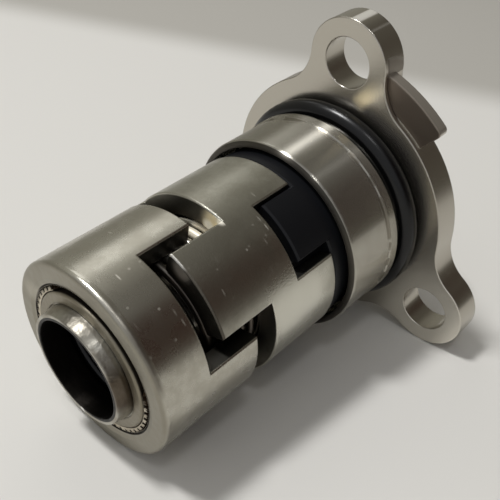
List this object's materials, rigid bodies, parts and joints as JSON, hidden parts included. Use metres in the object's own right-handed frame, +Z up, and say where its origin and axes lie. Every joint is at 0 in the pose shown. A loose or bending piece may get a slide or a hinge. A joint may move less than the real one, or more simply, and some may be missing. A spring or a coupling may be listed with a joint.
{
  "type": "cartridge mechanical seal",
  "caption": "Cartridge shaft seal for a pump: sleeve with a toothed spring housing and drive carrier turning in a gland with an eared flange.",
  "frame": {"origin": "centre of the bounding box's base, on the table that the seal lies on", "axes": "+Z up; +X towards the flange, below the seal axis, which rises by 7 degrees from the sleeve's mouth to the flange"},
  "size_m": [0.0754, 0.0594, 0.0556],
  "materials": {
    "turned_stainless": "turned",
    "satin_stainless": "satin",
    "bright_stainless": "polished",
    "spring_steel": "drawn wire",
    "plain_steel": "plain",
    "black_screw": "black oxide",
    "black_face": "pressed and lapped",
    "seat_ceramic": "lapped",
    "white_washer": "smooth",
    "black_rubber": "moulded"
  },
  "bodies": {
    "gland": {"gland_flange": "turned_stainless", "flange_o_ring": "black_rubber", "stationary_seat": "seat_ceramic", "seat_o_ring": "black_rubber", "seat_pin_1": "plain_steel", "seat_pin_2": "plain_steel", "glide_washer": "white_washer"},
    "carrier": {"drive_carrier": "satin_stainless", "rotating_face": "black_face", "face_o_ring": "black_rubber", "support_washer": "plain_steel", "coil_spring": "spring_steel"},
    "sleeve": {"shaft_sleeve": "bright_stainless", "shaft_o_ring": "black_rubber", "spring_housing": "satin_stainless", "spring_washer": "plain_steel", "drive_collar": "turned_stainless", "retaining_ring": "spring_steel", "set_screw_1": "black_screw", "set_screw_2": "black_screw", "set_screw_3": "black_screw"}
  },
  "joints": [
    {"name": "rotor_spin", "type": "hinge", "parent": "gland", "child": "carrier", "pos_m": [0.0031, -0.00113, 0.02005], "axis": [0.9929, 0, 0.1189], "continuous": true},
    {"name": "sleeve_press", "type": "slide", "parent": "carrier", "child": "sleeve", "axis": [0.9929, 0, 0.1189], "range_m": [0, 0.003], "stiffness_N_per_m": 1500, "springref_m": -0.016, "deforming": ["coil_spring"]}
  ]
}
